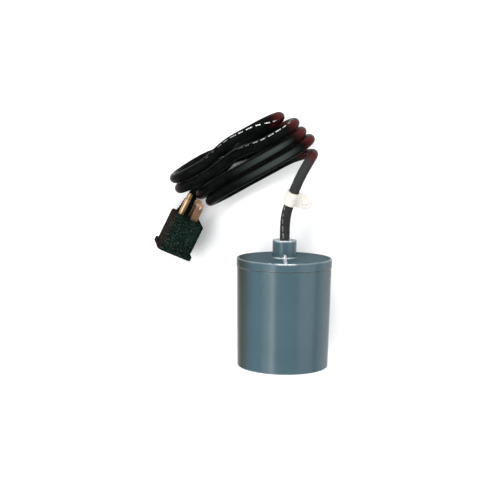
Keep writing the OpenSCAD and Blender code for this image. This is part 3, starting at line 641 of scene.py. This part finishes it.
def first_low(a):
    """The rest of the first fold, which leads into the first low run."""
    return hank_point(FIRST[0] - FOLD * (1 - sine(a)), between(FIRST[1], LOW_RIGHT[0], ease(a / 90 - 1)),
                      LOW + FOLD * (1 + cosine(a)))


def hank_turn(j, low_u):
    """One turn of the hank: its low run, left fold, top run and right fold, and where it ends."""
    left_r = math.hypot(FOLD, (TOP_LEFT[j] - LOW_LEFT[j]) / 2)
    right_r = math.hypot(FOLD, (TOP_RIGHT[j] - LOW_RIGHT[j + 1]) / 2)
    left_u = LEFT_ENDS[j] + left_r
    right_u = RIGHT_ENDS[j] - right_r
    made = []
    for i in range(RUN_POINTS):
        t = i / RUN_POINTS
        across = between(LOW_RIGHT[j], LOW_LEFT[j], ease(t))
        made.append(hank_point(between(low_u, left_u, t), across, LOW))
    for a in range(0, 180, FOLD_STEP):
        across = between(LOW_LEFT[j], TOP_LEFT[j], (1 - cosine(a)) / 2)
        made.append(hank_point(left_u - left_r * sine(a), across, LOW + FOLD * (1 - cosine(a))))
    for i in range(RUN_POINTS):
        t = i / RUN_POINTS
        bow = BOW[j] * sine(180 * i / RUN_POINTS) ** 2
        across = between(TOP_LEFT[j], TOP_RIGHT[j], ease(t)) + bow
        made.append(hank_point(between(left_u, right_u, t), across, HIGH + RISE[j] * ease(t)))
    for a in range(0, 180, FOLD_STEP):
        across = between(LOW_RIGHT[j + 1], TOP_RIGHT[j], (1 + cosine(a)) / 2)
        height = LOW + RISE[j] + FOLD * (1 + cosine(a))
        made.append(hank_point(right_u + right_r * sine(a), across, height))
    return made, right_u


def spline(points, count):
    """A smooth curve near its guide points, through the first and the last."""
    p = [2 * points[0] - points[1], *points, 2 * points[-1] - points[-2]]
    spans = len(points) - 1
    made = []
    for k in range(count + 1):
        s = k / count * spans
        i = min(spans - 1, int(s))
        t = s - i
        made.append(((1 - t) ** 3 * p[i] + (3 * t ** 3 - 6 * t ** 2 + 4) * p[i + 1]
                     + (-3 * t ** 3 + 3 * t ** 2 + 3 * t + 1) * p[i + 2] + t ** 3 * p[i + 3]) / 6)
    return made


def even(points, step):
    """The same route with its points a steady step apart, and its small kinks eased."""
    lengths = [0.0]
    for a, b in zip(points, points[1:]):
        lengths.append(lengths[-1] + (b - a).length)
    count = round(lengths[-1] / step)
    made = []
    i = 0
    for k in range(count + 1):
        want = lengths[-1] * k / count
        while i < len(points) - 2 and lengths[i + 1] < want:
            i += 1
        span = lengths[i + 1] - lengths[i]
        made.append(points[i].lerp(points[i + 1], 0.0 if span == 0 else (want - lengths[i]) / span))
    for _ in range(EASINGS):
        eased = [made[i] * 0.5 + (made[i - 1] + made[i + 1]) * 0.25 for i in range(2, len(made) - 2)]
        made = made[:2] + eased + made[-2:]
    return made


def cord_route():
    """The whole cord, from the hub's face through the hank to the plug's strain relief."""
    into = (first_fold(FIRST_ANGLE + 0.01) - first_fold(FIRST_ANGLE - 0.01)).normalized()
    start = first_fold(FIRST_ANGLE) - FIRST_LEAD * into
    hub = Vector(EXIT)
    climb = spline([hub, hub + Vector((0, HUB_STRAIGHT, 0)), *map(Vector, CLIMB_GUIDES),
                    start - HANK_STRAIGHT * into, start], 60)

    hank = [start + FIRST_LEAD * into * t / 6 for t in range(1, 6)]
    hank += [first_fold(a) for a in range(FIRST_ANGLE, 91, FOLD_STEP)]
    hank += [first_low(a) for a in range(95, 180, FOLD_STEP)]
    low_u = FIRST[0] - FOLD
    for j in range(len(LEFT_ENDS)):
        turn, low_u = hank_turn(j, low_u)
        hank += turn

    last = hank_point(low_u, LOW_RIGHT[-1], LOW + RISE[-1])
    end = hank_point(low_u + TAIL[0], LOW_RIGHT[-1] + TAIL[1], LOW + RISE[-1] + TAIL[2])
    out = (end - last).normalized()
    along = Vector((cosine(PLUG_TURN), sine(PLUG_TURN), 0.0))
    relief = Vector((PLUG_AT[0], PLUG_AT[1], RELIEF_HEIGHT)) \
        + RELIEF_SHIFT * Vector((-sine(PLUG_TURN), cosine(PLUG_TURN), 0.0)) + RELIEF_LENGTH * along
    to_plug = spline([end, end + TAIL_STRAIGHT * out, *(hank_point(*guide) for guide in PLUG_GUIDES),
                      relief + PLUG_STRAIGHT * along, relief], 80)
    return even(climb + hank + [last] + to_plug, ROUTE_STEP)


def route_ways(route):
    """The way that the cord goes at each point of its route."""
    return [(b - a).normalized() for a, b in zip(route[:1] + route[:-1], route[1:] + route[-1:])]


def dash_marks(route, ways):
    """The side that the dashes face at each point of the route, and how strong they are there."""
    outside = Vector((-sine(HANK_TURN), cosine(HANK_TURN), 0.0))
    wanted = [(i, LEAD_FACES, strength) for i, strength in LEAD_DASHES]
    for u, w, z, lean, strength in HANK_DASHES:
        spot = hank_point(u, w, z)
        nearest = min(range(len(route)), key=lambda i: (route[i] - spot).length)
        wanted.append((nearest, cosine(lean) * Vector((0, 0, 1)) + sine(lean) * outside, strength))

    # Sides that turn no more than the route does, then how far each is twisted to face as wanted
    sides = []
    side = Vector((0.0, 0.0, 1.0))
    for way in ways:
        side = (side - side.dot(way) * way).normalized()
        sides.append(side)
    twists = []
    for i, aim, _ in wanted:
        angle = math.atan2(sides[i].cross(aim).dot(ways[i]), sides[i].dot(aim))
        if twists:
            angle += math.tau * round((twists[-1] - angle) / math.tau)
        twists.append(angle)

    facing = []
    marked = []
    k = 0
    for i in range(len(route)):
        while k < len(wanted) - 2 and i > wanted[k + 1][0]:
            k += 1
        t = min(1.0, max(0.0, (i - wanted[k][0]) / (wanted[k + 1][0] - wanted[k][0])))
        facing.append(Matrix.Rotation(between(twists[k], twists[k + 1], t), 3, ways[i]) @ sides[i])
        marked.append(between(wanted[k][2], wanted[k + 1][2], t))
    return facing, marked


def fold_bounce_marks(ways):
    """How much of the painted warm bounce on the folds each point takes: all where it dives, a little
    where it climbs.
    """
    return [max(ease((-way.z - DIVE_FROM) / DIVE_SPAN),
                CLIMB_SHARE * ease((way.z - CLIMB_FROM) / CLIMB_SPAN)) for way in ways]


def cord_growth():
    """Sweeps a round jacket along a line of points and marks where each point of it lies."""
    g = Growth("cord_sweep", [("Diameter", "NodeSocketFloat", CORD_DIAMETER),
                              ("Sides", "NodeSocketInt", CORD_SIDES),
                              ("Finish", "NodeSocketMaterial", None)])
    line = g.node("GeometryNodeMeshToCurve", Mesh=g.given("Geometry"))
    side = g.node("GeometryNodeInputNamedAttribute", {"data_type": "FLOAT_VECTOR"}, Name="side",
                  out="Attribute")
    line = g.node("GeometryNodeSetCurveNormal", {"mode": "FREE"}, Curve=line, Normal=side)
    line = g.node("GeometryNodeStoreNamedAttribute", {"data_type": "FLOAT", "domain": "POINT"},
                  Geometry=line, Name="along", Value=g.node("GeometryNodeSplineParameter", out="Length"))
    ring = g.node("GeometryNodeCurvePrimitiveCircle", {"mode": "RADIUS"}, Resolution=g.given("Sides"),
                  Radius=g.given("Diameter") / 2.0)
    face = g.node("ShaderNodeVectorMath", {"operation": "NORMALIZE"}, g.node("GeometryNodeInputPosition"))
    ring = g.node("GeometryNodeStoreNamedAttribute", {"data_type": "FLOAT_VECTOR", "domain": "POINT"},
                  Geometry=ring, Name="face", Value=face)
    tube = g.node("GeometryNodeCurveToMesh", Curve=line, Profile_Curve=ring, Fill_Caps=True)
    tube = g.node("GeometryNodeSetShadeSmooth", Geometry=tube, Shade_Smooth=True)
    g.finish(tube, g.given("Finish"))
    return g


# ---------------------------------------------------------------- the scene


def add_object(name, data):
    """Puts a mesh, a light or a camera in the scene."""
    made = bpy.data.objects.new(name, data)
    bpy.context.scene.collection.objects.link(made)
    return made


def softbox(name, power, width, depth, place, aim=(-0.02, 0.06, 0.02)):
    """Adds a rectangular soft light."""
    data = bpy.data.lights.new(name, "AREA")
    data.shape = "RECTANGLE"
    data.size = width
    data.size_y = depth
    data.energy = power
    made = add_object(name, data)
    made.location = place
    made.rotation_euler = (Vector(aim) - Vector(place)).to_track_quat("-Z", "Y").to_euler()


# ---------------------------------------------------------------- settings


def size_setting(name, about, value, low, high):
    return bpy.props.FloatProperty(name=name, description=about, default=value, min=low, max=high,
                                   precision=4, unit="LENGTH")


def colour_setting(name, about, value):
    return bpy.props.FloatVectorProperty(name=name, description=about, default=value, size=4, min=0.0,
                                         max=1.0, subtype="COLOR")


def power_setting(name, about, value):
    return bpy.props.FloatProperty(name=name, description=about, default=value, min=0.0, unit="POWER")


class FloatSettings(bpy.types.PropertyGroup):
    """The float's own looks."""
    colour: colour_setting("Shell colour", "Colour of the housing and the cap", rgb(60, 80, 88))
    # The colour of the painted olive shade on the shell's left side
    sides: colour_setting("Painted shade side", "Colour of the shell's aged side", rgb(24, 32, 25))
    seam: size_setting("Seam", "Where the cap's lower edge lies along the float", 0.0336, 0.0, 0.06)


class CordSettings(bpy.types.PropertyGroup):
    """The cord's size and looks."""
    diameter: size_setting("Diameter", "Thickness of the cord", CORD_DIAMETER, 0.006, 0.012)
    sides: bpy.props.IntProperty(name="Sides", description="Faces round the cord", default=CORD_SIDES,
                                 min=12, max=48)
    colour: colour_setting("Jacket colour", "Colour of the cord's jacket", rgb(8, 10, 9))
    marks: colour_setting("Marks", "Colour of the dashes along the cord", rgb(225, 226, 222))
    # The colour of the painted warm bounce on the cord's folds
    warm_bounce: colour_setting("Fold colour", "Colour of the jacket where it is folded", rgb(66, 18, 17))


class PlugSettings(bpy.types.PropertyGroup):
    """The plug's looks."""
    colour: colour_setting("Body colour", "Colour of the plug's body", rgb(7, 19, 14))
    # The colour of the painted warm bounce on one side of the plug
    warm_bounce: colour_setting("Side colour", "Colour of the body's browner side", rgb(30, 18, 17))
    blades: colour_setting("Blade metal", "Colour of the flat blades", rgb(144, 113, 90))
    pin: colour_setting("Pin metal", "Colour of the earth pin", rgb(180, 150, 114))


class ClampSettings(bpy.types.PropertyGroup):
    """The cord clamp's looks."""
    colour: colour_setting("Nylon", "Colour of the cord clamp", rgb(206, 203, 196))
    # The colour of the painted shade on the clamp's edges
    rim: colour_setting("Edge", "Colour of the clamp's edges", rgb(206, 184, 158))


class StageSettings(bpy.types.PropertyGroup):
    """The floor and the lights."""
    floor: colour_setting("Floor colour", "Colour of the floor", rgb(250, 250, 250))
    key: power_setting("Key light", "Power of the main light", 12.0)
    fill: power_setting("Fill light", "Power of the opposite light", 11.0)
    back: power_setting("Back light", "Power of the light past the cord", 6.0)
    rim: power_setting("Rim light", "Power of the small light at the cap's rim", 10.0)
    front: power_setting("Front light", "Power of the light at the float's base", 5.0)
    sky: bpy.props.FloatProperty(name="Surroundings", description="Brightness of the surroundings",
                                 default=0.52, min=0.0)


# ---------------------------------------------------------------- operators


class FLOATSWITCH_OT_camera(bpy.types.Operator):
    """Sets the camera over the float switch"""
    bl_idname = "floatswitch.camera"
    bl_label = "Camera"

    def execute(self, context):
        data = bpy.data.cameras.new("camera")
        data.sensor_fit = "HORIZONTAL"
        data.sensor_width = 36.0
        data.lens = CAMERA_LENS
        data.clip_start = 0.05
        data.clip_end = 20.0
        made = add_object("camera", data)
        right = Vector((1.0, 0.0, 0.0))
        roll = math.radians(CAMERA_ROLL)
        x = right * math.cos(roll) + CAMERA_UP * math.sin(roll)
        y = CAMERA_UP * math.cos(roll) - right * math.sin(roll)
        turn = Matrix((x, y, -CAMERA_AHEAD)).transposed()
        made.matrix_world = Matrix.Translation(CAMERA_AT) @ turn.to_4x4()
        context.scene.camera = made
        return {"FINISHED"}


class FLOATSWITCH_OT_cord(bpy.types.Operator):
    """Sweeps the cord from the hub through its hank to the plug"""
    bl_idname = "floatswitch.cord"
    bl_label = "Cord"

    def execute(self, context):
        wish = context.scene.floatswitch_cord
        route = cord_route()
        ways = route_ways(route)
        sides, marked = dash_marks(route, ways)
        line = bpy.data.meshes.new("cord_line")
        line.from_pydata(route, [(i, i + 1) for i in range(len(route) - 1)], [])
        kept = line.attributes.new("side", "FLOAT_VECTOR", "POINT")
        kept.data.foreach_set("vector", [v for side in sides for v in side])
        for label, values in (("marked", marked), ("folded", fold_bounce_marks(ways))):
            line.attributes.new(label, "FLOAT", "POINT").data.foreach_set("value", values)
        guide = add_object("cord_guide", line)
        finish = cord_jacket(tuple(wish.colour), tuple(wish.marks), tuple(wish.warm_bounce))
        mesh = cord_growth().grow(guide, Diameter=wish.diameter, Sides=wish.sides, Finish=finish)
        bpy.data.objects.remove(guide)
        mesh.name = "cord"
        if not mesh.vertices:
            raise RuntimeError("the cord came out empty")
        cord = add_object("cord", mesh)
        length = sum((b - a).length for a, b in zip(route, route[1:]))
        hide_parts("cord_to_hank", "cord_hank", "cord_to_plug")
        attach(cord, "float")
        return {"FINISHED"}


class FLOATSWITCH_OT_shell(bpy.types.Operator):
    """Finishes the float's housing and cap, and its seals, nut, screws and steel pieces"""
    bl_idname = "floatswitch.shell"
    bl_label = "Float"

    def execute(self, context):
        wish = context.scene.floatswitch_float
        shell = moulded_shell(tuple(wish.colour), tuple(wish.sides), wish.seam)
        dress(shell, "float_housing", "float_cap")
        dress(soft_rubber("seal_rubber", rgb(30, 30, 31)), "cap_seal", "cable_seal")
        dress(plated_steel("plated_steel", rgb(200, 200, 196)), "seal_washer", "carrier_screws",
              "switch_screws", "lever_arm", "lever_pin", "cord_ferrule")
        dress(plain_plastic("nut_plastic", rgb(222, 220, 212)), "gland_nut")
        return {"FINISHED"}


class FLOATSWITCH_OT_inside(bpy.types.Operator):
    """Finishes what the float holds: carrier, tube, ball, switch and cores"""
    bl_idname = "floatswitch.inside"
    bl_label = "Inside"

    def execute(self, context):
        dress(plain_plastic("carrier_plastic", rgb(216, 214, 204)), "switch_carrier", "ball_tube",
              "tube_stop")
        dress(plated_steel("ball_steel", rgb(214, 215, 218), 0.05), "steel_ball")
        dress(plain_plastic("switch_black", rgb(34, 34, 36), 0.45), "switch_case", "switch_cover")
        dress(plain_plastic("plunger_red", rgb(176, 32, 28), 0.35), "switch_plunger")
        dress(blade_metal("spring_copper", rgb(200, 126, 84), rgb(110, 62, 40)), "contact_blade")
        dress(blade_metal("tab_brass", rgb(206, 176, 104), rgb(120, 96, 52)), "common_terminal",
              "open_terminal", "closed_terminal", "hot_contact", "neutral_contact", "earth_contact")
        dress(plated_steel("tinned_brass", rgb(196, 194, 186)), "crimp_black", "crimp_white")
        dress(soft_rubber("core_black", rgb(22, 22, 24)), "lead_black", "cord_inner")
        dress(soft_rubber("core_white", rgb(150, 150, 146)), "lead_white")
        return {"FINISHED"}


class FLOATSWITCH_OT_clamp(bpy.types.Operator):
    """Finishes the nylon clamp on the cord"""
    bl_idname = "floatswitch.clamp"
    bl_label = "Cord clamp"

    def execute(self, context):
        wish = context.scene.floatswitch_clamp
        dress(clamp_plastic("clamp_nylon", tuple(wish.colour), tuple(wish.rim)), "cable_clamp")
        return {"FINISHED"}


class FLOATSWITCH_OT_plug(bpy.types.Operator):
    """Finishes the plug, its blades and its strain relief"""
    bl_idname = "floatswitch.plug"
    bl_label = "Plug"

    def execute(self, context):
        wish = context.scene.floatswitch_plug
        colour = tuple(wish.colour)
        dress(plug_rubber(colour, tuple(wish.warm_bounce)), "plug_body", "plug_strain_relief")
        dress(plain_plastic("plug_face_plastic", shade(colour, 1.3), 0.5), "plug_face")
        blades = blade_metal("blade_copper", tuple(wish.blades), BLADE_TARNISH, tip=tip_of("hot_blade"))
        dress(blades, "hot_blade", "neutral_blade")
        rings = [tip_of("earth_pin") - back for back in PIN_RINGS]
        dress(blade_metal("pin_brass", tuple(wish.pin), PIN_TARNISH, rings), "earth_pin")
        return {"FINISHED"}


class FLOATSWITCH_OT_stage(bpy.types.Operator):
    """Lays the pale floor and sets the soft lights round it"""
    bl_idname = "floatswitch.stage"
    bl_label = "Stage"

    def execute(self, context):
        wish = context.scene.floatswitch_stage
        paper = floor_paper(tuple(wish.floor))
        angles = [360 * i / FLOOR_SIDES for i in range(FLOOR_SIDES)]
        mesh = bpy.data.meshes.new("floor")
        mesh.from_pydata([(FLOOR_RADIUS * cosine(a), FLOOR_RADIUS * sine(a), 0.0) for a in angles], [],
                         [list(range(FLOOR_SIDES))])
        mesh.materials.append(paper)
        floor = add_object("floor", mesh)

        for name, share, depth, angle in (("key_light", 0.42, 0.22, 30.0),
                                          ("wide_key_light", 0.58, 0.62, 38.0)):
            place = (-KEY_DISTANCE * sine(angle), KEY_AIM[1], KEY_AIM[2] + KEY_DISTANCE * cosine(angle))
            softbox(name, wish.key * share, 1.3, depth, place, KEY_AIM)
        softbox("fill_light", wish.fill, 1.2, 1.2, (1.3, 0.1, 0.9))
        softbox("back_light", wish.back, 0.4, 0.3, (-0.65, 1.05, 0.75), (-0.04, 0.12, 0.03))
        softbox("rim_light", wish.rim, 0.4, 0.4, (0.03, 0.95, 0.75), (0.0, 0.04, 0.08))
        softbox("front_light", wish.front, 1.2, 0.8, (0.0, -1.3, 1.1))

        world = bpy.data.worlds.new("surroundings")
        world.use_nodes = True
        sky = world.node_tree.nodes["Background"]
        sky.inputs["Color"].default_value = (0.97, 0.98, 1.0, 1.0)
        sky.inputs["Strength"].default_value = wish.sky
        context.scene.world = world
        context.scene.view_settings.view_transform = "Standard"
        return {"FINISHED"}


class FLOATSWITCH_PT_workshop(bpy.types.Panel):
    """Lists what makes the float switch"""
    bl_label = "Float Switch"
    bl_idname = "FLOATSWITCH_PT_workshop"
    bl_space_type = "VIEW_3D"
    bl_region_type = "UI"
    bl_category = "Float Switch"

    def draw(self, context):
        column = self.layout.column()
        for group, steps in STEPS:
            if group:
                settings = getattr(context.scene, group)
                for key in settings.__annotations__:
                    column.prop(settings, key)
            for step in steps:
                column.operator(step.bl_idname)


STEPS = (
    (None, (FLOATSWITCH_OT_camera,)),
    ("floatswitch_cord", (FLOATSWITCH_OT_cord,)),
    ("floatswitch_clamp", (FLOATSWITCH_OT_clamp,)),
    ("floatswitch_float", (FLOATSWITCH_OT_shell, FLOATSWITCH_OT_inside)),
    ("floatswitch_plug", (FLOATSWITCH_OT_plug,)),
    ("floatswitch_stage", (FLOATSWITCH_OT_stage,)),
)
SETTINGS = {
    "floatswitch_cord": CordSettings,
    "floatswitch_clamp": ClampSettings,
    "floatswitch_float": FloatSettings,
    "floatswitch_plug": PlugSettings,
    "floatswitch_stage": StageSettings,
}


def register():
    for group in SETTINGS.values():
        bpy.utils.register_class(group)
    for _, steps in STEPS:
        for step in steps:
            bpy.utils.register_class(step)
    bpy.utils.register_class(FLOATSWITCH_PT_workshop)
    for name, group in SETTINGS.items():
        setattr(bpy.types.Scene, name, bpy.props.PointerProperty(type=group))


def unregister():
    for name in SETTINGS:
        delattr(bpy.types.Scene, name)
    bpy.utils.unregister_class(FLOATSWITCH_PT_workshop)
    for _, steps in STEPS:
        for step in steps:
            bpy.utils.unregister_class(step)
    for group in SETTINGS.values():
        bpy.utils.unregister_class(group)


def main():
    register()
    bpy.ops.floatswitch.camera()
    bpy.ops.floatswitch.cord()
    bpy.ops.floatswitch.clamp()
    bpy.ops.floatswitch.shell()
    bpy.ops.floatswitch.inside()
    bpy.ops.floatswitch.plug()
    bpy.ops.floatswitch.stage()


if __name__ == "__main__":
    main()
